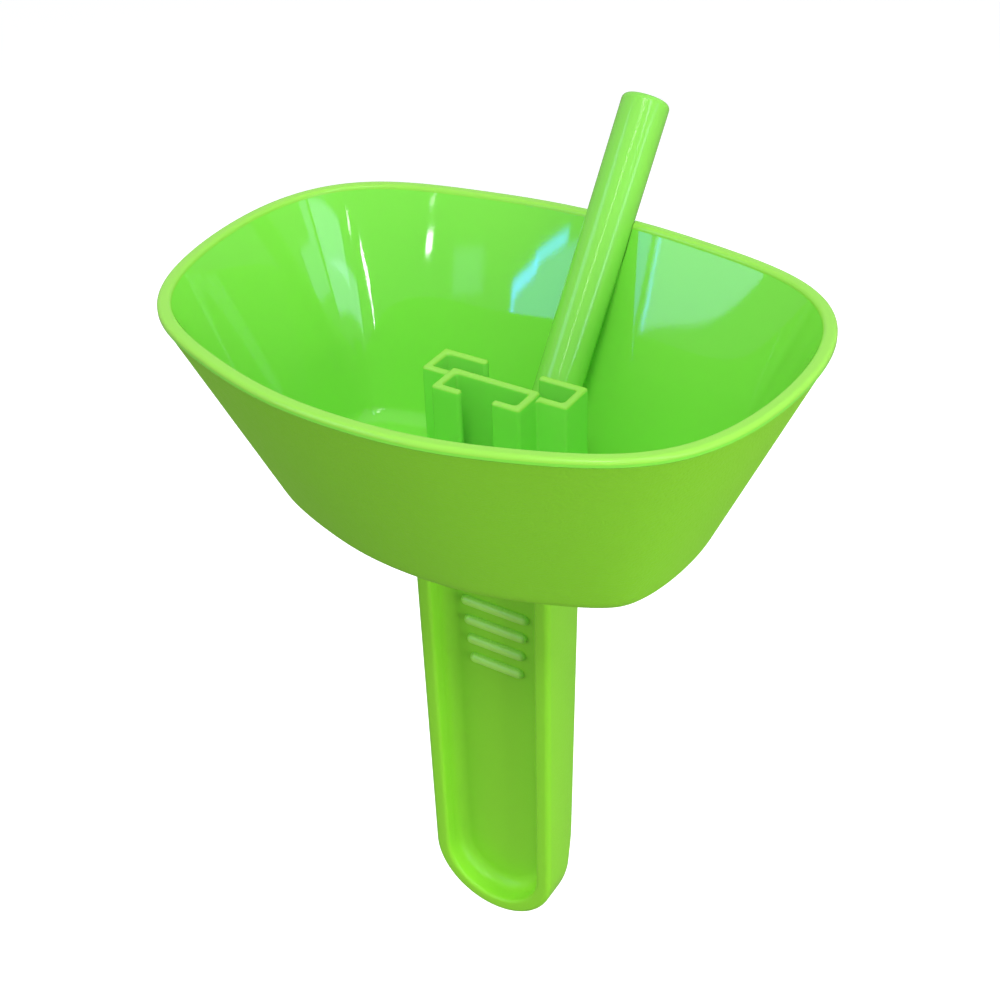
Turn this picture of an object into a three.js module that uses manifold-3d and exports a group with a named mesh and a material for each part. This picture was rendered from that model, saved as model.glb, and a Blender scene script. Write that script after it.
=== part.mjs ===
// Drip-catching ice-pop holder: an open drip bowl with a two-size stick clip on its floor,
// a drinking straw that lies in a cradle at the bowl's back rim, and a ribbed handle below.
// Millimetres. +Z up, +X along the bowl's length, +Y towards the straw side.
// Origin: centre of the handle's rear grip face.

import * as THREE from 'three';
import { mergeVertices } from 'three/addons/utils/BufferGeometryUtils.js';
import Module from 'manifold-3d';

const wasm = await Module();
wasm.setup();

// ---- driving dimensions ---------------------------------------------------------------

const GAP = 0.3; // between pieces that touch
const REACH = 60; // half size of a block that cuts everything on one side of a plane
const OVERRUN = 3; // how far a cutter runs out past the face it opens

// bowl
const RIM_Z = 75; // top of the rim above the grip centre
const BOWL_Y = -0.95; // rim centre, in front of the rear grip face
const RIM_HALF_LENGTH = 45;
const RIM_HALF_WIDTH = 33;
const RIM_SQUARENESS = 3.69; // superellipse exponent of the rim outline
const CORNER_TRIM = [0.045, 0.006, -0.002]; // fourfold and higher terms that round the corners
const FRONT_TRIM = [-0.051, 0.02, 0.006]; // odd terms that make the front fuller than the back
const BOWL_DEPTH = 34;
const WALL = 1.9; // width of the rim; the drafted wall below it is about 2 thick
const FLOOR = 1.9;
const DRAFT = 0.446; // wall's run inwards per unit of depth
const RIM_BAND = 1.2; // height of the upright outer edge under the rim land
const RIM_PROUD = 0.2; // how far that edge stands out from the wall
const RIM_EDGE = 0.5; // rounding of the rim's edges
const FLOOR_FILLET = 3.2; // inside; the outside adds the floor's thickness
const FILLET_STEPS = 5;
const FLOOR_RING = 0.6; // the floor's middle ring, as a share of the floor's reach
const BOWL_SEGMENTS = 80;

// stick clip on the bowl's floor
const CLIP_WALL = 1.2;
const CLIP_FRONT = -0.6; // front face of the middle wall
const CLIP_TOP = 61.2;
const CLIP_CROWN = 0.7; // how much higher the small slot stands
const WIDE_HALF = 11.6;
const WIDE_DEPTH = 6.2;
const WIDE_MOUTH = 4.2;
const SMALL_HALF = 7;
const SMALL_DEPTH = 4.6;
const SMALL_MOUTH = 2.5;
const CLIP_CORNER = 0.55;
const CLIP_BEVEL = 0.3;

// straw
const STRAW_X = 3;
const STRAW_Y = 27.1; // where its axis passes the level of the rim
const STRAW_LEAN = THREE.MathUtils.degToRad(37.5);
const STRAW_ABOVE = 18; // along the axis, above the level of the rim
const STRAW_BELOW = 46; // along the axis, below it, before the foot is trimmed
const STRAW_TOP_RADIUS = 3.55;
const STRAW_FOOT_RADIUS = 3.4;
const BORE_RADIUS = 2.3;
const STRAW_LIP = 0.9; // rounding of the mouth end
const LIP_STEPS = 3;
const BORE_CHAMFER = 0.3;
const STRAW_SEGMENTS = 28;
const CRADLE_WALL = 1;
const CRADLE_ABOVE = 1.2; // along the straw, above the level of the rim
const CRADLE_BELOW = 9.5; // its lower end dies into the bowl's wall
const CRADLE_SEGMENTS = 14;

// handle
const HANDLE_TOP_HALF = 11.6;
const HANDLE_FOOT_HALF = 10.95;
const HANDLE_FOOT_Z = -37.6;
const HANDLE_FRONT = -5.9;
const HANDLE_BACK_FOOT = 1.5;
const HANDLE_BACK_TOP = 4; // the handle is deeper towards the bowl
const GRIP_FRONT = -1.9; // face of the web between the front and rear recess
const HANDLE_WALL = 2.1;
const HANDLE_CAP = 1.6; // thickness across the top, under the bowl
const HANDLE_ROUND = 0.7;
const RECESS_FILLET = 1.3;
const RIB_TOP_Z = 23.5;
const RIB_PITCH = 3.6;
const RIB_COUNT = 4;
const RIB_HALF = 5.85;
const RIB_SHORTER = 0.38; // each rib's half length is this much less than the one above
const RIB_RADIUS = 0.6;
const RIB_SIDES = 10;
const RIB_CAP_STEPS = 3;
const RIB_AHEAD = 0.25; // rib centre line in front of the web's face

// ---- values that follow ---------------------------------------------------------------

const bowlBottom = RIM_Z - BOWL_DEPTH;
const floorTop = bowlBottom + FLOOR;
const handleTop = bowlBottom - GAP;

// ---- materials ------------------------------------------------------------------------

const glossGreen = new THREE.MeshStandardMaterial({
  color: 0x5fbf2c,
  roughness: 0.15,
  metalness: 0,
});
const satinGreen = new THREE.MeshStandardMaterial({
  color: 0x74c23a,
  roughness: 0.45,
  metalness: 0,
});

// ---- helpers --------------------------------------------------------------------------

function toSolid(geometry) {
  const bare = geometry.clone();
  bare.deleteAttribute('normal');
  bare.deleteAttribute('uv');
  const merged = mergeVertices(bare, 1e-4);
  const kept = [];
  const index = merged.index.array;
  for (let i = 0; i < index.length; i += 3) {
    const [a, b, c] = [index[i], index[i + 1], index[i + 2]];
    if (a !== b && b !== c && c !== a) kept.push(a, b, c);
  }
  return new wasm.Manifold(
    new wasm.Mesh({
      numProp: 3,
      vertProperties: new Float32Array(merged.attributes.position.array),
      triVerts: new Uint32Array(kept),
    }),
  );
}

function toGeometry(solid) {
  const mesh = solid.getMesh();
  const geometry = new THREE.BufferGeometry();
  geometry.setAttribute('position', new THREE.BufferAttribute(mesh.vertProperties, 3));
  geometry.setIndex(new THREE.BufferAttribute(mesh.triVerts, 1));
  geometry.computeVertexNormals();
  return geometry;
}

function box(low, high) {
  const size = high.map((value, i) => value - low[i]);
  const centre = high.map((value, i) => (value + low[i]) / 2);
  return new THREE.BoxGeometry(...size).translate(...centre);
}

// A closed shape through the given corners, each one rounded.
function roundedShape(corners, radius) {
  const shape = new THREE.Shape();
  const count = corners.length;
  corners.forEach((corner, i) => {
    const before = corners[(i + count - 1) % count];
    const after = corners[(i + 1) % count];
    const start = corner.clone().add(before.clone().sub(corner).setLength(radius));
    const end = corner.clone().add(after.clone().sub(corner).setLength(radius));
    if (i === 0) shape.moveTo(start.x, start.y);
    else shape.lineTo(start.x, start.y);
    shape.quadraticCurveTo(corner.x, corner.y, end.x, end.y);
  });
  shape.closePath();
  return shape;
}

// ---- bowl -----------------------------------------------------------------------------

function rimPoint(angle) {
  const x = Math.abs(Math.cos(angle) / RIM_HALF_LENGTH) ** RIM_SQUARENESS;
  const y = Math.abs(Math.sin(angle) / RIM_HALF_WIDTH) ** RIM_SQUARENESS;
  let radius = (x + y) ** (-1 / RIM_SQUARENESS);
  CORNER_TRIM.forEach((trim, k) => {
    radius *= 1 + trim * (Math.cos((4 + 2 * k) * angle) - 1);
  });
  FRONT_TRIM.forEach((trim, k) => {
    radius *= 1 + trim * Math.sin((2 * k + 1) * angle);
  });
  return new THREE.Vector2(Math.cos(angle), Math.sin(angle)).multiplyScalar(radius);
}

// The rim outline moved straight inwards by the given distance.
function insetPoint(angle, inset) {
  const step = 1e-3;
  const along = rimPoint(angle + step).sub(rimPoint(angle - step)).normalize();
  return rimPoint(angle).add(new THREE.Vector2(-along.y, along.x).multiplyScalar(inset));
}

// One ring of the bowl: its inset from the rim outline, its height, and how much it is drawn
// in towards the bowl's axis (1 not at all, 0 to a point).
function ring(inset, z, draw = 1) {
  return { inset, z, draw };
}

// The rings that round the corner between a drafted wall and a level floor.
function floorRings(insetAtRim, wallTop, floorZ, radius) {
  const slope = Math.atan(DRAFT);
  const tangentZ = floorZ + radius * (1 - Math.sin(slope));
  const tangentInset = insetAtRim + DRAFT * (wallTop - tangentZ);
  const centreInset = tangentInset + radius * Math.cos(slope);
  const rings = [];
  for (let i = 0; i <= FILLET_STEPS; i += 1) {
    const angle = slope + ((Math.PI / 2 - slope) * i) / FILLET_STEPS;
    const z = floorZ + radius * (1 - Math.sin(angle));
    rings.push(ring(centreInset - radius * Math.cos(angle), z));
  }
  rings.push(ring(centreInset, floorZ, FLOOR_RING), ring(centreInset, floorZ, 0));
  return rings;
}

function insideRings() {
  return floorRings(WALL, RIM_Z, floorTop, FLOOR_FILLET);
}

function bowlRings() {
  const wallTop = RIM_Z - RIM_BAND;
  const outside = floorRings(RIM_PROUD, wallTop, bowlBottom, FLOOR_FILLET + FLOOR);
  const edge = RIM_EDGE * (1 - Math.SQRT1_2);
  return [
    ...outside.reverse(),
    ring(RIM_PROUD, wallTop),
    ring(0, wallTop + RIM_PROUD),
    ring(0, RIM_Z - RIM_EDGE),
    ring(edge, RIM_Z - edge),
    ring(RIM_EDGE, RIM_Z),
    ring(WALL - RIM_EDGE, RIM_Z),
    ring(WALL, RIM_Z - RIM_EDGE),
    ...insideRings(),
  ];
}

// The space inside the bowl, closed level with the rim.
function cavityRings() {
  const inside = insideRings().reverse();
  return [...inside, ring(WALL, RIM_Z - RIM_EDGE), ring(WALL, RIM_Z), ring(WALL, RIM_Z, 0)];
}

// A closed body through rings around the bowl's axis, the first and last drawn to a point.
function loft(rings) {
  const profile = rings.map((entry, i) => new THREE.Vector2(entry.draw === 0 ? 0 : 1, i));
  const geometry = new THREE.LatheGeometry(profile, BOWL_SEGMENTS);
  const position = geometry.attributes.position;
  for (let i = 0; i < position.count; i += 1) {
    const segment = Math.floor(i / rings.length) % BOWL_SEGMENTS;
    const { inset, z, draw } = rings[i % rings.length];
    const angle = (2 * Math.PI * segment) / BOWL_SEGMENTS;
    const point = insetPoint(angle, inset).multiplyScalar(draw);
    position.setXYZ(i, point.x, BOWL_Y + point.y, z);
  }
  return geometry;
}

// Length along the straw's axis, from the level of the rim upwards, becomes +Z here.
function alongStraw(geometry) {
  return geometry.rotateX(-STRAW_LEAN).translate(STRAW_X, STRAW_Y, RIM_Z);
}

// The half-round boss behind the straw, outside the bowl's inner face and no higher than its rim.
function cradle() {
  const radius = STRAW_TOP_RADIUS + GAP + CRADLE_WALL;
  const shape = new THREE.Shape();
  shape.absarc(0, 0, radius, 0, Math.PI, false);
  shape.closePath();
  const boss = new THREE.ExtrudeGeometry(shape, {
    depth: CRADLE_ABOVE + CRADLE_BELOW,
    bevelEnabled: false,
    curveSegments: CRADLE_SEGMENTS,
  });
  const aboveRim = box([-REACH, -REACH, RIM_Z], [REACH, REACH, RIM_Z + REACH]);
  return toSolid(alongStraw(boss.translate(0, 0, -CRADLE_BELOW)))
    .subtract(toSolid(aboveRim))
    .subtract(toSolid(loft(cavityRings())));
}

function strawChannel() {
  const length = STRAW_ABOVE + STRAW_BELOW;
  const radius = STRAW_TOP_RADIUS + GAP;
  const rod = new THREE.CylinderGeometry(radius, radius, length, STRAW_SEGMENTS);
  rod.rotateX(Math.PI / 2);
  return alongStraw(rod);
}

function bowl() {
  const shell = toSolid(loft(bowlRings()));
  const solid = shell.add(cradle()).subtract(toSolid(strawChannel()));
  const mesh = new THREE.Mesh(toGeometry(solid), glossGreen);
  mesh.name = 'bowl';
  return mesh;
}

// ---- stick clip -----------------------------------------------------------------------

// One side of the small slot, from the middle wall's front face to its own outer side.
function smallHook() {
  return [
    [SMALL_HALF - CLIP_WALL, 0],
    [SMALL_HALF - CLIP_WALL, CLIP_WALL - SMALL_DEPTH],
    [SMALL_MOUTH, CLIP_WALL - SMALL_DEPTH],
    [SMALL_MOUTH, -SMALL_DEPTH],
    [SMALL_HALF, -SMALL_DEPTH],
  ];
}

// One side of the wide slot, from the middle wall's end to the inside of its back face.
function wideHook() {
  return [
    [WIDE_HALF, 0],
    [WIDE_HALF, WIDE_DEPTH],
    [WIDE_MOUTH, WIDE_DEPTH],
    [WIDE_MOUTH, WIDE_DEPTH - CLIP_WALL],
    [WIDE_HALF - CLIP_WALL, WIDE_DEPTH - CLIP_WALL],
    [WIDE_HALF - CLIP_WALL, CLIP_WALL],
  ];
}

function clipPrism(rightHalf, top) {
  const right = rightHalf.map(([x, y]) => new THREE.Vector2(x, y));
  const left = right.map((point) => new THREE.Vector2(-point.x, point.y)).reverse();
  const shape = roundedShape([...right, ...left], CLIP_CORNER);
  const bottom = floorTop + GAP;
  const prism = new THREE.ExtrudeGeometry(shape, {
    depth: top - bottom - 2 * CLIP_BEVEL,
    bevelThickness: CLIP_BEVEL,
    bevelSize: CLIP_BEVEL,
    bevelOffset: -CLIP_BEVEL,
    bevelSegments: 2,
    curveSegments: 2,
  });
  return toSolid(prism.translate(0, CLIP_FRONT, bottom + CLIP_BEVEL));
}

function stickClip() {
  const whole = clipPrism([...smallHook(), [SMALL_HALF, 0], ...wideHook()], CLIP_TOP);
  const small = clipPrism([...smallHook(), [SMALL_HALF, CLIP_WALL]], CLIP_TOP + CLIP_CROWN);
  const mesh = new THREE.Mesh(toGeometry(whole.add(small)), glossGreen);
  mesh.name = 'stick_clip';
  return mesh;
}

// ---- straw ----------------------------------------------------------------------------

function strawTube() {
  const lip = [];
  for (let i = 0; i <= LIP_STEPS; i += 1) {
    const angle = (Math.PI / 2) * (i / LIP_STEPS);
    lip.push(
      new THREE.Vector2(
        STRAW_TOP_RADIUS - STRAW_LIP * (1 - Math.cos(angle)),
        STRAW_ABOVE - STRAW_LIP * (1 - Math.sin(angle)),
      ),
    );
  }
  const tube = new THREE.LatheGeometry(
    [
      new THREE.Vector2(BORE_RADIUS, -STRAW_BELOW),
      new THREE.Vector2(STRAW_FOOT_RADIUS, -STRAW_BELOW),
      ...lip,
      new THREE.Vector2(BORE_RADIUS, STRAW_ABOVE - BORE_CHAMFER),
      new THREE.Vector2(BORE_RADIUS, -STRAW_BELOW),
    ],
    STRAW_SEGMENTS,
  );
  return tube.rotateX(Math.PI / 2);
}

// The foot is trimmed level with the bowl's floor and upright behind the stick clip.
function footTrims() {
  const clipBack = CLIP_FRONT + WIDE_DEPTH + 2 * GAP;
  return [
    box([-REACH, -REACH, bowlBottom - REACH], [REACH, REACH, floorTop + GAP]),
    box([-REACH, -REACH, bowlBottom - REACH], [REACH, clipBack, RIM_Z]),
  ];
}

function straw() {
  const place = new THREE.Group();
  place.position.set(STRAW_X, STRAW_Y, RIM_Z);
  place.rotation.x = -STRAW_LEAN;
  place.updateMatrix();
  const toLocal = place.matrix.clone().invert();
  let solid = toSolid(strawTube());
  footTrims().forEach((trim) => {
    solid = solid.subtract(toSolid(trim.applyMatrix4(toLocal)));
  });
  const mesh = new THREE.Mesh(toGeometry(solid), glossGreen);
  mesh.name = 'straw';
  place.add(mesh);
  return place;
}

// ---- handle ---------------------------------------------------------------------------

// The handle's front view, drawn in by the given distance; its top is cut level.
function handleOutline(inset, topZ) {
  const footHalf = HANDLE_FOOT_HALF - inset;
  const topHalf = HANDLE_TOP_HALF - inset;
  const centreZ = HANDLE_FOOT_Z + HANDLE_FOOT_HALF;
  const shape = new THREE.Shape();
  shape.moveTo(topHalf, topZ);
  shape.lineTo(-topHalf, topZ);
  shape.absarc(0, centreZ, footHalf, Math.PI, 2 * Math.PI, false);
  shape.closePath();
  return shape;
}

// Extrudes a front view along +Y between two depths, with rounded ends.
function slab(shape, front, back, round) {
  const geometry = new THREE.ExtrudeGeometry(shape, {
    depth: back - front - 2 * round,
    bevelThickness: round,
    bevelSize: round,
    bevelOffset: -round,
    bevelSegments: 3,
    curveSegments: 14,
  });
  return geometry.rotateX(Math.PI / 2).translate(0, back - round, 0);
}

// Leans the back of the handle out, from its foot up to the bowl.
function deepenUpwards(geometry) {
  const position = geometry.attributes.position;
  const rate = (HANDLE_BACK_TOP - HANDLE_BACK_FOOT) / (handleTop - HANDLE_FOOT_Z);
  for (let i = 0; i < position.count; i += 1) {
    const y = position.getY(i);
    if (y > 0) position.setY(i, y + rate * (position.getZ(i) - HANDLE_FOOT_Z));
  }
  return geometry;
}

function ribSolids() {
  return Array.from({ length: RIB_COUNT }, (_, i) => {
    const half = RIB_HALF - RIB_SHORTER * i;
    const bar = new THREE.CapsuleGeometry(RIB_RADIUS, 2 * (half - RIB_RADIUS), RIB_CAP_STEPS, RIB_SIDES);
    bar.rotateZ(Math.PI / 2);
    return toSolid(bar.translate(0, GRIP_FRONT - RIB_AHEAD, RIB_TOP_Z - RIB_PITCH * i));
  });
}

function handle() {
  const recessTop = handleTop - HANDLE_CAP;
  const outline = handleOutline(0, handleTop + OVERRUN);
  const body = deepenUpwards(slab(outline, HANDLE_FRONT, HANDLE_BACK_FOOT, HANDLE_ROUND));
  const lid = box([-REACH, -REACH, handleTop], [REACH, REACH, handleTop + REACH]);
  const recess = handleOutline(HANDLE_WALL, recessTop);
  const front = slab(recess, HANDLE_FRONT - OVERRUN, GRIP_FRONT, RECESS_FILLET);
  const rear = slab(recess, 0, HANDLE_BACK_TOP + OVERRUN, RECESS_FILLET);
  let solid = toSolid(body).subtract(toSolid(lid));
  solid = solid.subtract(toSolid(front)).subtract(toSolid(rear));
  ribSolids().forEach((rib) => {
    solid = solid.add(rib);
  });
  const mesh = new THREE.Mesh(toGeometry(solid), satinGreen);
  mesh.name = 'handle';
  return mesh;
}

// ---- assembly -------------------------------------------------------------------------

const holder = new THREE.Group();
holder.add(bowl(), stickClip(), straw(), handle());

export default holder;
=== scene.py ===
"""Looks of a drip-catching ice-pop holder: glossy green bowl, stick clip, straw and ribbed handle."""

import math

import bmesh
import bpy
import numpy as np
from mathutils import Matrix, Vector


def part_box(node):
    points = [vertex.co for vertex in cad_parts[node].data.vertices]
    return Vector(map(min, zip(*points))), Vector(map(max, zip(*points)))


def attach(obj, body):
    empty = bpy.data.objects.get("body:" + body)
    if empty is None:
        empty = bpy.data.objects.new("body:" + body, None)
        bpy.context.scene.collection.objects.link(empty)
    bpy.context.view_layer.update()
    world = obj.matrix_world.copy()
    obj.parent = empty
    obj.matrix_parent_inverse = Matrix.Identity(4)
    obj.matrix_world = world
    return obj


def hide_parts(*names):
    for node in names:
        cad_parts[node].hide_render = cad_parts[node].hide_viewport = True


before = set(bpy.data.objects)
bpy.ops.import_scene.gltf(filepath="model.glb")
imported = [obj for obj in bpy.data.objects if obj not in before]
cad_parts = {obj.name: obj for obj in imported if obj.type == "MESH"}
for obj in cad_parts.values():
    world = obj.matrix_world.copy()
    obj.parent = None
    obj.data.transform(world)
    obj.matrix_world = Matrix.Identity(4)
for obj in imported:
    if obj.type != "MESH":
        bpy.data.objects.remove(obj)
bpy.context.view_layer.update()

MM = 0.001

# ---- driving dimensions, in metres --------------------------------------------------------

bowl_low, bowl_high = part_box("bowl")
clip_low, clip_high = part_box("stick_clip")
straw_low, straw_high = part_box("straw")
handle_low, handle_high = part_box("handle")

GAP = 0.3 * MM  # what the CAD pieces keep between them
SLIDING_GAP = 0.02 * MM
RIM_Z = bowl_high.z
BOWL_BOTTOM = bowl_low.z

# bowl
RIM_HALF_LENGTH = 44.97 * MM
RIM_HALF_WIDTH = 32.99 * MM
RIM_CENTRE_Y = -0.95 * MM
RIM_SQUARENESS = 3.69
# small waves on the outline: 4, 6 and 8 round it, then 1, 3 and 5 that tell front from back
CORNER_TRIM = (0.045, 0.006, -0.002)
FRONT_TRIM = (-0.051, 0.02, 0.006)
WALL = 1.9 * MM
FLOOR = 1.9 * MM
DRAFT = 0.446  # how far the wall leans in, per length of height
RIM_BAND = 1.2 * MM
RIM_PROUD = 0.2 * MM
RIM_ROUND = 0.62 * MM
FLOOR_FILLET = 3.2 * MM
BOWL_STEPS = 360
FLOOR_DRAWS = (0.02, 0.25, 0.5, 0.75, 1.0)  # rings on the flat floor, as shares of its reach
FILLET_STEPS = 12
WALL_STEPS = 16
RIM_STEPS = 7
BAND_SHARES = (0.35, 0.7, 1.0)  # rings where the rim band slopes out, as shares of the slope
RING_BESIDE_EDGE = 0.08 * MM
FLOOR_TOP = BOWL_BOTTOM + FLOOR

# stick clip
CLIP_WALL = 1.2 * MM
CLIP_FRONT = -0.6 * MM
CLIP_CROWN = 0.7 * MM
WIDE_HALF = (clip_high.x - clip_low.x) / 2
WIDE_DEPTH = 6.2 * MM
WIDE_MOUTH = 4.2 * MM
SMALL_HALF = 7 * MM
SMALL_DEPTH = 4.6 * MM
SMALL_MOUTH = 2.5 * MM
CLIP_CORNER = 0.5 * MM
CLIP_ROUND = 0.42 * MM
CLIP_FLARE = 0.4 * MM
FLARE_STEPS = 5
CLIP_ROUND_STEPS = 6

# straw
STRAW_X = (straw_low.x + straw_high.x) / 2
STRAW_Y = 27.1 * MM
STRAW_LEAN = math.radians(37.5)
STRAW_ABOVE = 18 * MM
STRAW_RADIUS = (straw_high.x - straw_low.x) / 2 - SLIDING_GAP
STRAW_FOOT_RADIUS = 3.4 * MM
BORE_RADIUS = 2.3 * MM
STRAW_LIP = 0.9 * MM
BORE_CHAMFER = 0.3 * MM
STRAW_STEPS = 96
TAPER_STEPS = 10
STRAW_LIP_STEPS = 10
TAPER_FOOT = -24 * MM  # along the straw from the rim; below it the straw no longer narrows
BORE_FOOT = -20 * MM
CHANNEL_FOOT = -30 * MM
ROD_STEPS = 64
CRADLE_WALL = 1 * MM
CRADLE_ABOVE = 1.2 * MM
CRADLE_BELOW = 9.5 * MM

# handle
HANDLE_TOP_HALF = (handle_high.x - handle_low.x) / 2
HANDLE_FOOT_HALF = 10.95 * MM
HANDLE_FOOT_Z = handle_low.z
HANDLE_FRONT = handle_low.y
HANDLE_BACK_FOOT = 1.5 * MM
HANDLE_BACK_TOP = handle_high.y
GRIP_FRONT = -1.9 * MM
HANDLE_WALL = 2.6 * MM
HANDLE_CAP = 1.6 * MM
# outer edge inwards, its depth at the sides and at the foot, lip's inner edge, recess fillet
FRONT_ROUNDS = (0.9 * MM, 0.9 * MM, 0.9 * MM, 0.6 * MM, 2.3 * MM)
REAR_ROUNDS = (2.2 * MM, 0.9 * MM, 4 * MM, 0.35 * MM, 0.9 * MM)
FOOT_REACH = 18 * MM  # how far up the handle the foot's rounding fades out
RECESS_CORNER = 1.2 * MM
TOP_STEPS = 12
SIDE_STEPS = 24
FOOT_STEPS = 48
CORNER_STEPS = 6
EDGE_STEPS = 8
INNER_EDGE_STEPS = 5
RECESS_STEPS = 10
RIB_TOP_Z = 23.5 * MM
RIB_PITCH = 3.6 * MM
RIB_COUNT = 4
RIB_HALF = 5.85 * MM
RIB_SHORTER = 0.38 * MM
RIB_RADIUS = 0.86 * MM
RIB_AHEAD = 0.02 * MM
RIB_STEPS = 24
RIB_END_STEPS = 6
RIB_TIP = 0.1  # the angle at which a rib's rounded end starts; it leaves a tiny flat tip


# ---- mesh helpers -------------------------------------------------------------------------

def new_object(name, mesh):
    piece = bpy.data.objects.new(name, mesh)
    bpy.context.scene.collection.objects.link(piece)
    return piece


def loft(name, rings, caps=True):
    """A closed body through loops of equal length, with its ends filled or, without caps, joined."""
    rings = np.asarray(rings, float)
    count, around = rings.shape[:2]
    faces = []
    for r in range(count - 1):
        for i in range(around):
            j = (i + 1) % around
            faces.append((r * around + i, r * around + j, (r + 1) * around + j, (r + 1) * around + i))
    if caps:
        faces.append(tuple(reversed(range(around))))
        faces.append(tuple(range((count - 1) * around, count * around)))
    else:
        for i in range(around):
            j = (i + 1) % around
            last = (count - 1) * around
            faces.append((last + i, last + j, j, i))
    mesh = bpy.data.meshes.new(name)
    mesh.from_pydata([tuple(p) for p in rings.reshape(-1, 3)], [], faces)
    outward(mesh)
    return new_object(name, mesh)


def outward(mesh):
    bm = bmesh.new()
    bm.from_mesh(mesh)
    bmesh.ops.recalc_face_normals(bm, faces=bm.faces)
    bm.to_mesh(mesh)
    bm.free()


def combine(piece, tool, operation):
    """Joins or cuts piece with tool, then removes tool."""
    modifier = piece.modifiers.new("combine", "BOOLEAN")
    modifier.object = tool
    modifier.operation = operation
    modifier.solver = "EXACT"
    graph = bpy.context.evaluated_depsgraph_get()
    mesh = bpy.data.meshes.new_from_object(piece.evaluated_get(graph))
    piece.modifiers.clear()
    piece.data = mesh
    bpy.data.objects.remove(tool)
    return piece


def smooth(piece, angle=32):
    piece.data.shade_smooth()
    piece.data.set_sharp_from_angle(angle=math.radians(angle))


def block(name, low, high):
    corners = [(low[0], low[1]), (high[0], low[1]), (high[0], high[1]), (low[0], high[1])]
    return loft(name, [[(x, y, z) for x, y in corners] for z in (low[2], high[2])])


def arc(start, end, steps):
    return [start + (end - start) * i / steps for i in range(steps + 1)]


# ---- bowl ---------------------------------------------------------------------------------

def rim_outline(angle):
    x = np.abs(np.cos(angle) / RIM_HALF_LENGTH) ** RIM_SQUARENESS
    y = np.abs(np.sin(angle) / RIM_HALF_WIDTH) ** RIM_SQUARENESS
    radius = (x + y) ** (-1 / RIM_SQUARENESS)
    for k, trim in enumerate(CORNER_TRIM):
        radius = radius * (1 + trim * (np.cos((4 + 2 * k) * angle) - 1))
    for k, trim in enumerate(FRONT_TRIM):
        radius = radius * (1 + trim * np.sin((2 * k + 1) * angle))
    return np.stack([radius * np.cos(angle), radius * np.sin(angle)], axis=-1)


def bowl_ring(inset, z, draw=1.0):
    """The rim outline moved inwards by inset, at height z, drawn in towards the bowl's axis."""
    angle = np.linspace(0, 2 * np.pi, BOWL_STEPS, endpoint=False)
    step = 1e-3
    along = rim_outline(angle + step) - rim_outline(angle - step)
    along /= np.linalg.norm(along, axis=1)[:, None]
    inward = np.stack([-along[:, 1], along[:, 0]], axis=-1)
    points = (rim_outline(angle) + inset * inward) * draw
    heights = np.full(BOWL_STEPS, z)
    return np.column_stack([points[:, 0], points[:, 1] + RIM_CENTRE_Y, heights])


def floor_and_wall(inset_at_rim, wall_top, floor_z, radius):
    """Rings from the middle of the floor, round its fillet and up a drafted wall."""
    slope = math.atan(DRAFT)
    tangent_z = floor_z + radius * (1 - math.sin(slope))
    centre = inset_at_rim + DRAFT * (wall_top - tangent_z) + radius * math.cos(slope)
    rings = [bowl_ring(centre, floor_z, draw) for draw in FLOOR_DRAWS]
    for angle in arc(math.pi / 2, slope, FILLET_STEPS)[1:]:
        height = floor_z + radius * (1 - math.sin(angle))
        rings.append(bowl_ring(centre - radius * math.cos(angle), height))
    heights = arc(tangent_z, wall_top, WALL_STEPS)[1:]
    heights.insert(-1, wall_top - RING_BESIDE_EDGE)
    for z in heights:
        rings.append(bowl_ring(inset_at_rim + DRAFT * (wall_top - z), z))
    return rings


def rim_rings():
    """From the outer wall's top, out over the rim band and round the rim to the inner wall."""
    band_foot = RIM_Z - RIM_BAND
    rings = [bowl_ring(RIM_PROUD * (1 - t), band_foot + RIM_PROUD * t) for t in BAND_SHARES]
    for angle in arc(0, math.pi / 2, RIM_STEPS):
        away = RIM_ROUND * (1 - math.cos(angle))
        rings.append(bowl_ring(away, RIM_Z - RIM_ROUND * (1 - math.sin(angle))))
    for angle in arc(math.pi / 2, 0, RIM_STEPS):
        away = RIM_ROUND * (1 - math.cos(angle))
        rings.append(bowl_ring(WALL - away, RIM_Z - RIM_ROUND * (1 - math.sin(angle))))
    return rings


def along_straw(x, back, length):
    """A point beside the straw's axis: back is away from the bowl, length runs up from the rim."""
    return (
        STRAW_X + x,
        STRAW_Y + length * math.sin(STRAW_LEAN) + back * math.cos(STRAW_LEAN),
        RIM_Z + length * math.cos(STRAW_LEAN) - back * math.sin(STRAW_LEAN),
    )


def straw_rod(name, radius, low, high, turn=2 * math.pi):
    count = ROD_STEPS if turn > math.pi else ROD_STEPS + 1
    angles = [turn * i / ROD_STEPS for i in range(count)]
    circle = [(radius * math.cos(a), radius * math.sin(a)) for a in angles]
    return loft(name, [[along_straw(x, back, t) for x, back in circle] for t in (low, high)])


def bowl_core():
    """The bowl's hollow and the inner half of its wall."""
    core = floor_and_wall(WALL / 2, RIM_Z - RIM_ROUND, FLOOR_TOP - FLOOR / 2, FLOOR_FILLET)
    return loft("bowl_core", [*core, bowl_ring(WALL / 2, RIM_Z)])


def cradle():
    """The half-round boss that backs the straw, from under the rim band down the outer wall."""
    radius = STRAW_RADIUS + GAP + CRADLE_WALL
    boss = straw_rod("straw_cradle", radius, -CRADLE_BELOW, CRADLE_ABOVE, math.pi)
    reach = RIM_HALF_LENGTH
    above = block("above_band", (-reach, -reach, RIM_Z - RIM_BAND), (reach, reach, RIM_Z + reach))
    combine(boss, above, "DIFFERENCE")
    return combine(boss, bowl_core(), "DIFFERENCE")


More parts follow.
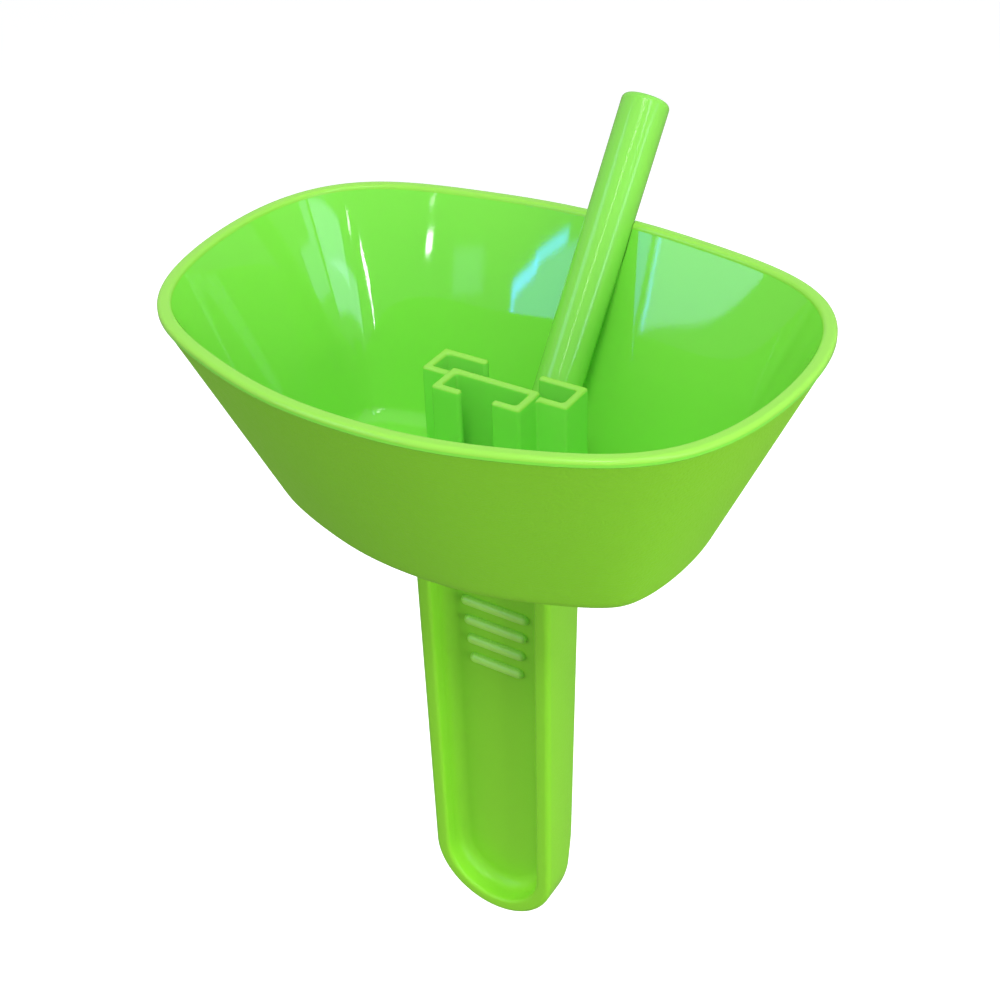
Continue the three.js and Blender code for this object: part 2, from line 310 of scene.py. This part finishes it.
def make_bowl():
    outside = floor_and_wall(RIM_PROUD, RIM_Z - RIM_BAND, BOWL_BOTTOM, FLOOR_FILLET + FLOOR)
    inside = floor_and_wall(WALL, RIM_Z - RIM_ROUND, FLOOR_TOP, FLOOR_FILLET)
    shell = loft("drip_bowl", [*outside, *rim_rings(), *reversed(inside)])
    combine(shell, cradle(), "UNION")
    channel = straw_rod("straw_channel", STRAW_RADIUS + SLIDING_GAP, CHANNEL_FOOT, STRAW_ABOVE)
    combine(shell, channel, "DIFFERENCE")
    smooth(shell)
    return shell


# ---- stick clip ---------------------------------------------------------------------------

def small_hook():
    inside = SMALL_HALF - CLIP_WALL
    return [
        (inside, 0),
        (inside, CLIP_WALL - SMALL_DEPTH),
        (SMALL_MOUTH, CLIP_WALL - SMALL_DEPTH),
        (SMALL_MOUTH, -SMALL_DEPTH),
        (SMALL_HALF, -SMALL_DEPTH),
    ]


def wide_hook():
    inside = WIDE_HALF - CLIP_WALL
    return [
        (WIDE_HALF, 0),
        (WIDE_HALF, WIDE_DEPTH),
        (WIDE_MOUTH, WIDE_DEPTH),
        (WIDE_MOUTH, WIDE_DEPTH - CLIP_WALL),
        (inside, WIDE_DEPTH - CLIP_WALL),
        (inside, CLIP_WALL),
    ]


def rounded(corners, radius, steps=6):
    """The closed outline through corners, each turned into a small arc."""
    points = []
    count = len(corners)
    for i, corner in enumerate(corners):
        here = Vector(corner)
        start = (Vector(corners[i - 1]) - here).normalized() * radius
        end = (Vector(corners[(i + 1) % count]) - here).normalized() * radius
        centre = here + start + end
        for k in range(steps + 1):
            turn = k / steps * math.pi / 2
            points.append(centre - end * math.cos(turn) - start * math.sin(turn))
    return points


def moved_out(points, distance):
    """The outline with every point moved out along its normal."""
    moved = []
    count = len(points)
    for i, point in enumerate(points):
        before = (point - points[i - 1]).normalized()
        after = (points[(i + 1) % count] - point).normalized()
        normal = (before + after).normalized()
        moved.append(point + distance * Vector((normal.y, -normal.x)))
    return moved


def clip_prism(name, right_half, top):
    left_half = [(-x, y) for x, y in reversed(right_half)]
    outline = rounded(list(reversed([*right_half, *left_half])), CLIP_CORNER)
    area = sum(a.x * b.y - b.x * a.y for a, b in zip(outline, outline[1:] + outline[:1]))
    facing = 1 if area > 0 else -1
    steps = [(CLIP_FLARE * (1 - math.sin(a)), CLIP_FLARE * (1 - math.cos(a)))
             for a in arc(0, math.pi / 2, FLARE_STEPS)]
    steps += [(-CLIP_ROUND * (1 - math.cos(a)), top - FLOOR_TOP - CLIP_ROUND * (1 - math.sin(a)))
              for a in arc(0, math.pi / 2, CLIP_ROUND_STEPS)]
    rings = []
    for away, height in steps:
        loop = moved_out(outline, facing * away)
        rings.append([(p.x, p.y + CLIP_FRONT, FLOOR_TOP + height) for p in loop])
    return loft(name, rings)


def make_clip():
    top = clip_high.z - CLIP_CROWN
    clip = clip_prism("stick_holder", [*small_hook(), (SMALL_HALF, 0), *wide_hook()], top)
    crown = clip_prism("small_slot", [*small_hook(), (SMALL_HALF, CLIP_WALL)], clip_high.z)
    combine(clip, crown, "UNION")
    smooth(clip)
    return clip


# ---- straw --------------------------------------------------------------------------------

def foot_length(radius, angle):
    """How far down its axis a line on the straw runs before the level and upright foot trims."""
    back = radius * math.sin(angle)
    level = FLOOR_TOP + GAP
    behind_clip = CLIP_FRONT + WIDE_DEPTH + 2 * GAP
    at_floor = (level - RIM_Z + back * math.sin(STRAW_LEAN)) / math.cos(STRAW_LEAN)
    at_clip = (behind_clip - STRAW_Y - back * math.cos(STRAW_LEAN)) / math.sin(STRAW_LEAN)
    return max(at_floor, at_clip)


def straw_ring(radius, length):
    """length is a place along the axis, or None for the trimmed foot."""
    ring = []
    for i in range(STRAW_STEPS):
        angle = 2 * math.pi * i / STRAW_STEPS
        place = foot_length(radius, angle) if length is None else length
        ring.append(along_straw(radius * math.cos(angle), radius * math.sin(angle), place))
    return ring


def make_straw():
    body_top = STRAW_ABOVE - STRAW_LIP
    rings = [straw_ring(STRAW_FOOT_RADIUS, None)]
    for t in arc(0, 1, TAPER_STEPS):
        radius = STRAW_FOOT_RADIUS + (STRAW_RADIUS - STRAW_FOOT_RADIUS) * t
        rings.append(straw_ring(radius, TAPER_FOOT + (body_top - TAPER_FOOT) * t))
    for angle in arc(0, math.pi / 2, STRAW_LIP_STEPS)[1:]:
        radius = STRAW_RADIUS - STRAW_LIP * (1 - math.cos(angle))
        rings.append(straw_ring(radius, body_top + STRAW_LIP * math.sin(angle)))
    rings.append(straw_ring(BORE_RADIUS + BORE_CHAMFER / 3, STRAW_ABOVE - BORE_CHAMFER / 4))
    rings.append(straw_ring(BORE_RADIUS, STRAW_ABOVE - BORE_CHAMFER))
    rings.append(straw_ring(BORE_RADIUS, BORE_FOOT))
    rings.append(straw_ring(BORE_RADIUS, None))
    straw = loft("drinking_straw", rings, caps=False)
    smooth(straw)
    return straw


# ---- handle -------------------------------------------------------------------------------

def handle_ring(inset, top_drop, y, corner=0.0):
    """The handle's front view drawn in by inset, with its top lowered by top_drop, at depth y."""
    foot_half = HANDLE_FOOT_HALF - inset
    top_half = HANDLE_TOP_HALF - inset
    centre_z = HANDLE_FOOT_Z + HANDLE_FOOT_HALF
    top_z = BOWL_BOTTOM - top_drop
    points = []
    for turn in arc(0, math.pi / 2, CORNER_STEPS):
        points.append((top_half - corner * (1 - math.cos(turn)), top_z - corner * (1 - math.sin(turn))))
    across = top_half - corner
    points += [(across * (1 - 2 * i / TOP_STEPS), top_z) for i in range(1, TOP_STEPS)]
    for turn in arc(math.pi / 2, 0, CORNER_STEPS):
        points.append((-top_half + corner * (1 - math.cos(turn)), top_z - corner * (1 - math.sin(turn))))
    side = [(half_at(t, top_half, foot_half), top_z - corner + (centre_z - top_z + corner) * t)
            for t in arc(0, 1, SIDE_STEPS)[1:-1]]
    points += [(-x, z) for x, z in side]
    for turn in arc(math.pi, 2 * math.pi, FOOT_STEPS):
        points.append((foot_half * math.cos(turn), centre_z + foot_half * math.sin(turn)))
    points += list(reversed(side))
    return [(x, y(z) if callable(y) else y, z) for x, z in points]


def half_at(t, top_half, foot_half):
    return top_half + (foot_half - top_half) * t


def handle_back(z):
    share = (z - HANDLE_FOOT_Z) / (BOWL_BOTTOM - HANDLE_FOOT_Z)
    return HANDLE_BACK_FOOT + (HANDLE_BACK_TOP - HANDLE_BACK_FOOT) * share


def lip_and_recess(face, web, forward, rounds):
    """Rings from the outer side, over the lip and down into a recess; forward is -1 or 1."""
    edge_in, side_deep, foot_deep, lip_round, fillet = rounds
    rings = []

    def edge_deep(z):
        share = max(0.0, 1 - (z - HANDLE_FOOT_Z) / FOOT_REACH)
        return side_deep + (foot_deep - side_deep) * share ** 2 * (3 - 2 * share)

    for angle in arc(0, math.pi / 2, EDGE_STEPS):
        away = edge_in * (1 - math.cos(angle))
        left = 1 - math.sin(angle)
        rings.append(handle_ring(away, 0, lambda z, k=left: face(z) - forward * k * edge_deep(z)))
    for angle in arc(math.pi / 2, 0, INNER_EDGE_STEPS):
        away = HANDLE_WALL - lip_round * (1 - math.cos(angle))
        sunk = lip_round * (1 - math.sin(angle))
        rings.append(handle_ring(away, HANDLE_CAP - HANDLE_WALL + away,
                                 lambda z, s=sunk: face(z) - forward * s, RECESS_CORNER))
    for angle in arc(0, math.pi / 2, RECESS_STEPS):
        away = HANDLE_WALL + fillet * (1 - math.cos(angle))
        y = web + forward * fillet * (1 - math.sin(angle))
        rings.append(handle_ring(away, HANDLE_CAP - HANDLE_WALL + away, y, RECESS_CORNER))
    return rings


def rib(index):
    half = RIB_HALF - RIB_SHORTER * index
    z = RIB_TOP_Z - RIB_PITCH * index
    places = [(-half + RIB_RADIUS * (1 - math.cos(a)), RIB_RADIUS * math.sin(a))
              for a in arc(RIB_TIP, math.pi / 2, RIB_END_STEPS)]
    places += [(-x, radius) for x, radius in reversed(places)]
    rings = []
    for x, radius in places:
        circle = [2 * math.pi * i / RIB_STEPS for i in range(RIB_STEPS)]
        rings.append([(x, GRIP_FRONT - RIB_AHEAD + radius * math.cos(a), z + radius * math.sin(a))
                      for a in circle])
    return loft("rib", rings)


def make_handle():
    front = lip_and_recess(lambda z: HANDLE_FRONT, GRIP_FRONT, -1, FRONT_ROUNDS)
    rear = lip_and_recess(handle_back, 0.0, 1, REAR_ROUNDS)
    handle = loft("grip_handle", [*reversed(front), *rear])
    for index in range(RIB_COUNT):
        combine(handle, rib(index), "UNION")
    smooth(handle)
    return handle


# ---- materials ----------------------------------------------------------------------------

LIME = (0.27, 0.73, 0.036, 1)
# painted light: less red and more blue than LIME, for the cool light and the green light bounced about
# inside the bowl
LIME_INSIDE_LIT = (0.22, 0.74, 0.065, 1)
# painted highlight: lighter and whiter than LIME, for the lit top edges of the rim and the clip
LIME_EDGE_HIGHLIGHT = (0.31, 0.73, 0.075, 1)
# painted highlight: much lighter than LIME, for the light the ribs' faces catch
LIME_RIB_HIGHLIGHT = (0.42, 0.86, 0.14, 1)
# painted shade: a darker copy of LIME, with a little more blue, that tones down the brightly lit straw
LIME_STRAW_SHADE = (0.24, 0.68, 0.08, 1)
# painted glow: lighter than LIME, for light shining through the clip's thin walls
LIME_CLIP_GLOW = (0.25, 0.8, 0.095, 1)
DEEPER = 0.95  # the darker end of the slow colour drift
DRIFT_SCALE = 45
WEAR_SCALE = 700
WAVE_SCALE = 75
ROUGHNESS_SPREAD = 0.15
UPWARD = 0.2  # a face whose normal rises more than this faces up; on the clip's top it gets the painted highlight


def plastic(name, tint, roughness, grain_scale, grain_height, wave_height, level=0.5):
    """Moulded green plastic: slow colour drift, fine surface grain and slow waviness."""
    material = bpy.data.materials.new(name)
    material.use_nodes = True
    nodes, links = material.node_tree.nodes, material.node_tree.links
    shader = nodes["Principled BSDF"]
    place = nodes.new("ShaderNodeTexCoord")

    def noise(scale, detail, distortion=0.0):
        node = nodes.new("ShaderNodeTexNoise")
        node.inputs["Scale"].default_value = scale
        node.inputs["Detail"].default_value = detail
        node.inputs["Distortion"].default_value = distortion
        links.new(place.outputs["Object"], node.inputs["Vector"])
        return node

    def bump(height, distance, strength, below=None):
        node = nodes.new("ShaderNodeBump")
        node.inputs["Distance"].default_value = distance
        node.inputs["Strength"].default_value = strength
        links.new(height.outputs["Fac"], node.inputs["Height"])
        if below is not None:
            links.new(below.outputs["Normal"], node.inputs["Normal"])
        return node

    drift = noise(DRIFT_SCALE, 3)
    colour = nodes.new("ShaderNodeMix")
    colour.data_type = "RGBA"
    colour.inputs["A"].default_value = tint
    colour.inputs["B"].default_value = tuple(c * DEEPER for c in tint[:3]) + (1,)
    links.new(drift.outputs["Fac"], colour.inputs["Factor"])
    links.new(colour.outputs["Result"], shader.inputs["Base Color"])

    wear = noise(WEAR_SCALE, 4)
    rough = nodes.new("ShaderNodeMapRange")
    rough.inputs["To Min"].default_value = roughness * (1 - ROUGHNESS_SPREAD)
    rough.inputs["To Max"].default_value = roughness * (1 + ROUGHNESS_SPREAD)
    links.new(wear.outputs["Fac"], rough.inputs["Value"])
    links.new(rough.outputs["Result"], shader.inputs["Roughness"])

    waves = bump(noise(WAVE_SCALE, 1), wave_height, 1.0)
    grain = bump(noise(grain_scale, 2), grain_height, 1.0, waves)
    links.new(grain.outputs["Normal"], shader.inputs["Normal"])

    shader.inputs["IOR"].default_value = 1.49
    shader.inputs["Specular IOR Level"].default_value = level
    shader.inputs["Subsurface Weight"].default_value = 0.12
    shader.inputs["Subsurface Radius"].default_value = (0.6, 1.0, 0.25)
    shader.inputs["Subsurface Scale"].default_value = 1.2 * MM
    return material


def paint_bowl(piece):
    """Polished inside with a painted-light tint, spark-textured on the outer wall and underneath, a
    painted highlight on the rim.
    """
    paint(piece, polished_and_lit, textured, edge)
    band_foot = RIM_Z - RIM_BAND
    for polygon in piece.data.polygons:
        centre, normal = polygon.center, polygon.normal
        outwards = Vector((centre.x, centre.y - RIM_CENTRE_Y, 0)).dot(normal) > 0
        below = centre.z < FLOOR_TOP - FLOOR / 2
        on_wall = outwards and centre.z < band_foot
        # index 2, the rim's top, gets the painted highlight; index 0, the inside, gets the painted-light
        # tint
        polygon.material_index = 2 if centre.z > RIM_Z - RIM_ROUND else 1 if (below or on_wall) else 0


def paint_clip(piece):
    """The thin top edges that face up get the lighter edge green: a painted highlight."""
    paint(piece, clip_finish_and_glow, edge)
    for polygon in piece.data.polygons:
        if polygon.normal.z > UPWARD and polygon.center.z > clip_high.z - CLIP_CROWN - CLIP_ROUND:
            polygon.material_index = 1


def paint_handle(piece):
    """The ribs stand out of the satin web with a smoother face, painted lighter as a highlight."""
    paint(piece, satin, rib_finish_and_highlight)
    top = RIB_TOP_Z + RIB_PITCH / 2
    foot = RIB_TOP_Z - RIB_PITCH * (RIB_COUNT - 0.5)
    for polygon in piece.data.polygons:
        centre = polygon.center
        ahead = GRIP_FRONT - centre.y
        proud = 0.1 * RIB_AHEAD < ahead < RIB_AHEAD + 1.1 * RIB_RADIUS
        if proud and foot < centre.z < top and abs(centre.x) < RIB_HALF:
            polygon.material_index = 1


def paint(piece, *materials):
    piece.data.materials.clear()
    for material in materials:
        piece.data.materials.append(material)


# ---- the pieces ---------------------------------------------------------------------------

# the inside: polished, with its painted-light tint
polished_and_lit = plastic("polished_lit_green", LIME_INSIDE_LIT, 0.035, 2600, 0.001 * MM, 0.008 * MM)
textured = plastic("textured_green", LIME, 0.55, 2300, 0.08 * MM, 0.01 * MM, 0.3)
# the rim's and the clip's top edges: glossier, with a painted highlight tint
edge = plastic("edge_highlight_green", LIME_EDGE_HIGHLIGHT, 0.2, 2600, 0.002 * MM, 0.01 * MM)
# ribs: a smoother grain, with a painted highlight tint
rib_finish_and_highlight = plastic("rib_highlight_green", LIME_RIB_HIGHLIGHT, 0.3, 2600, 0.004 * MM, 0.006 * MM)
# the clip: its own roughness, with a painted glow tint
clip_finish_and_glow = plastic("clip_glow_green", LIME_CLIP_GLOW, 0.22, 2600, 0.004 * MM, 0.006 * MM)
# the straw: its own roughness, with a painted shade tint
straw_finish_and_shade = plastic("straw_shade_green", LIME_STRAW_SHADE, 0.13, 2600, 0.003 * MM, 0.01 * MM)
satin = plastic("satin_green", LIME, 0.3, 2400, 0.03 * MM, 0.01 * MM, 0.35)

bowl = make_bowl()
paint_bowl(bowl)
clip = make_clip()
paint_clip(clip)
straw = make_straw()
paint(straw, straw_finish_and_shade)
handle = make_handle()
paint_handle(handle)

for piece, node, body, slot in (
    (bowl, "bowl", "holder", "gloss_green"),
    (clip, "stick_clip", "holder", "gloss_green"),
    (straw, "straw", "straw", "gloss_green"),
    (handle, "handle", "holder", "satin_green"),
):
    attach(piece, body)
    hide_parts(node)


# ---- floor, light and camera --------------------------------------------------------------

GROUND_Z = -0.4
GROUND_COLOUR = (0.95, 0.93, 0.92, 1)
GROUND_GLOW = 0.35
GROUND_SHARES = (0.001, 0.3, 0.6)  # rings on the flat ground, as shares of its reach
BACKDROP_RADIUS = 3.0
BACKDROP_FILLET = 1.2
BACKDROP_TOP = 4.0
BACKDROP_STEPS = 96
BACKDROP_FILLET_STEPS = 24
ROOM_LOW = (0.24, 0.22, 0.17, 1)
ROOM_LEVEL = (0.35, 0.33, 0.29, 1)
ROOM_HIGH = (0.5, 0.52, 0.54, 1)
ROOM_TOP = (0.72, 0.76, 0.78, 1)
ROOM_LEVEL_AT = 0.45  # heights on the ramp, from 0 straight down to 1 straight up
ROOM_HIGH_AT = 0.62
MIDDLE = Vector((0, 0, 0.06))
STRIP_DISTANCE = 2.0
CAMERA_ANGLES = (32.464, 34.811, -1.928)  # azimuth, elevation and roll, in degrees
CAMERA_PLACE = (0.103977, -0.163020, 0.176542)
CAMERA_LENS = 59.353


def make_floor():
    """A pale floor that curves up into a round backdrop; it neither bounces nor blocks light."""
    centre_z = GROUND_Z + BACKDROP_FILLET
    inner = BACKDROP_RADIUS - BACKDROP_FILLET
    profile = [(inner * t, GROUND_Z) for t in GROUND_SHARES]
    profile += [(inner + BACKDROP_FILLET * math.sin(a), centre_z - BACKDROP_FILLET * math.cos(a))
                for a in arc(0, math.pi / 2, BACKDROP_FILLET_STEPS)]
    profile.append((BACKDROP_RADIUS, BACKDROP_TOP))
    points, faces = [], []
    for level, (radius, z) in enumerate(profile):
        for i in range(BACKDROP_STEPS):
            turn = 2 * math.pi * i / BACKDROP_STEPS
            points.append((radius * math.cos(turn), radius * math.sin(turn), z))
            if level:
                here, there = (level - 1) * BACKDROP_STEPS, level * BACKDROP_STEPS
                j = (i + 1) % BACKDROP_STEPS
                faces.append((here + i, here + j, there + j, there + i))
    faces.append(tuple(range(BACKDROP_STEPS)))
    mesh = bpy.data.meshes.new("floor")
    mesh.from_pydata(points, [], faces)
    floor = new_object("floor", mesh)
    smooth(floor)
    floor.visible_diffuse = False
    floor.visible_glossy = False
    floor.visible_shadow = False
    material = bpy.data.materials.new("pale_floor")
    material.use_nodes = True
    shader = material.node_tree.nodes["Principled BSDF"]
    shader.inputs["Base Color"].default_value = GROUND_COLOUR
    shader.inputs["Emission Color"].default_value = (1, 1, 1, 1)
    shader.inputs["Emission Strength"].default_value = GROUND_GLOW
    shader.inputs["Roughness"].default_value = 0.9
    shader.inputs["Specular IOR Level"].default_value = 0
    mesh.materials.append(material)


def area_light(name, size, power, colour=(1, 1, 1)):
    data = bpy.data.lights.new(name, "AREA")
    data.shape = "RECTANGLE"
    data.size, data.size_y = size
    data.energy = power
    data.color = colour
    lamp = bpy.data.objects.new(name, data)
    bpy.context.scene.collection.objects.link(lamp)
    lamp.visible_camera = False
    return lamp


def soft_light(name, place, size, power):
    """A light that only shows in the matt colour, not in the gloss."""
    lamp = area_light(name, size, power)
    lamp.location = place
    lamp.rotation_euler = (MIDDLE - Vector(place)).to_track_quat("-Z", "Y").to_euler()
    lamp.visible_glossy = False


def towards(azimuth, elevation):
    """Seen from the bowl: azimuth turns from the front (-Y) to the right (+X), in degrees."""
    a, e = math.radians(azimuth), math.radians(elevation)
    return Vector((math.sin(a) * math.cos(e), -math.cos(a) * math.cos(e), math.sin(e)))


def strip(name, start, end, thickness, radiance, colour=(1, 1, 1)):
    """A flat light that only shows in the gloss, between two directions; thickness in degrees."""
    first, last = (towards(*spot) * STRIP_DISTANCE for spot in (start, end))
    along, out = last - first, ((first + last) / 2).normalized()
    size = (along.length, STRIP_DISTANCE * math.radians(thickness))
    lamp = area_light(name, size, radiance * math.pi * size[0] * size[1], colour)
    along.normalize()
    upright = out.cross(along)
    turn = Matrix((along, upright, out)).transposed().to_4x4()
    lamp.matrix_world = Matrix.Translation(MIDDLE + (first + last) / 2) @ turn
    lamp.visible_diffuse = False
    lamp.visible_shadow = False


def make_world():
    world = bpy.data.worlds.new("studio")
    bpy.context.scene.world = world
    world.use_nodes = True
    nodes, links = world.node_tree.nodes, world.node_tree.links
    background = nodes["Background"]
    place = nodes.new("ShaderNodeTexCoord")
    split = nodes.new("ShaderNodeSeparateXYZ")
    links.new(place.outputs["Generated"], split.inputs["Vector"])
    height = nodes.new("ShaderNodeMapRange")
    height.inputs["From Min"].default_value = -1
    links.new(split.outputs["Z"], height.inputs["Value"])
    ramp = nodes.new("ShaderNodeValToRGB")
    links.new(height.outputs["Result"], ramp.inputs["Fac"])
    links.new(ramp.outputs["Color"], background.inputs["Color"])
    first, last = ramp.color_ramp.elements
    first.color, last.color = ROOM_LOW, ROOM_TOP
    ramp.color_ramp.elements.new(ROOM_LEVEL_AT).color = ROOM_LEVEL
    ramp.color_ramp.elements.new(ROOM_HIGH_AT).color = ROOM_HIGH


def make_camera():
    azimuth, elevation, roll = (math.radians(angle) for angle in CAMERA_ANGLES)
    forward = Vector((-math.sin(azimuth) * math.cos(elevation),
                      math.cos(azimuth) * math.cos(elevation), -math.sin(elevation)))
    level = Vector((math.cos(azimuth), math.sin(azimuth), 0))
    upright = level.cross(forward)
    right = math.cos(roll) * level + math.sin(roll) * upright
    up = math.cos(roll) * upright - math.sin(roll) * level
    data = bpy.data.cameras.new("camera")
    data.lens = CAMERA_LENS
    data.sensor_width = 36
    data.clip_start = 0.01
    camera = bpy.data.objects.new("camera", data)
    bpy.context.scene.collection.objects.link(camera)
    turn = Matrix((right, up, -forward)).transposed().to_4x4()
    camera.matrix_world = Matrix.Translation(CAMERA_PLACE) @ turn
    bpy.context.scene.camera = camera


make_floor()
make_world()
soft_light("key", (0.22, -0.39, 0.9), (0.28, 0.28), 4.6)
soft_light("side", (0.93, -0.22, 0.12), (0.5, 0.5), 5.6)
soft_light("fill", (-0.75, -0.65, 0.1), (0.6, 0.6), 2.1)
soft_light("back", (-0.35, 0.9, 0.15), (0.6, 0.6), 3)

# a wide window in front on the left, its sill at 12.5 degrees and sky along its top edge
SKY = (0.05, 0.3, 1)
strip("window_pane", (-16.3, 14.9), (-36.9, 15.3), 5, 5, (0.16, 0.17, 1))
strip("window_next_pane", (-37.7, 15.2), (-53, 15.2), 5.4, 4.2, (0.45, 0.52, 1))
strip("window_top", (-16.3, 17.1), (-20, 17.6), 0.7, 18, SKY)
strip("window_top_end", (-19.5, 17.9), (-24.5, 18.2), 0.6, 18, SKY)
strip("window_side", (-16.5, 14.8), (-16.5, 17), 0.4, 14, SKY)
strip("window_bar", (-38.1, 12.6), (-38.1, 17.5), 0.25, 14, SKY)
strip("far_pane", (-13.2, 18.2), (-11.5, 18.2), 1.8, 1.6, (0.5, 0.6, 1))

# a window on the right, seen aslant in two panes
PALE = (0.55, 0.6, 1)
strip("side_pane", (50.8, 20.2), (88.5, 17.2), 2, 4.5, PALE)
strip("side_pane_top", (62, 21.7), (88.5, 19.6), 2.6, 4.5, PALE)
strip("side_next_pane", (91, 17.9), (107.5, 14.3), 2.2, 2.4, PALE)
strip("side_next_pane_top", (91, 20.2), (97, 18.9), 2.2, 2.4, PALE)

# lamps and bright slits
strip("tube", (40, 22.7), (32, 21), 0.6, 60)
strip("tube_end", (32, 20.9), (28, 19.5), 0.25, 50)
strip("spot", (-7.6, 19.5), (-7.6, 20.2), 1.3, 45)
strip("spot_above", (-8.4, 21.4), (-7, 21.4), 0.15, 20)
strip("corner_spot", (50, 23.5), (52.2, 23.5), 0.7, 20)
strip("high_spot", (16.5, 40), (19.5, 40), 1.2, 14)
strip("tall_tube", (12, 41), (42, 49), 0.9, 16)
strip("ceiling_panel", (18, 58), (38, 58), 11, 8)
strip("rim_light", (66, 32), (66, 72), 4, 7, (0.7, 0.8, 1))
strip("high_pane", (-31, 36), (-53, 36), 14, 2.6, (0.45, 0.6, 1))
make_camera()
bpy.context.scene.view_settings.view_transform = "Standard"
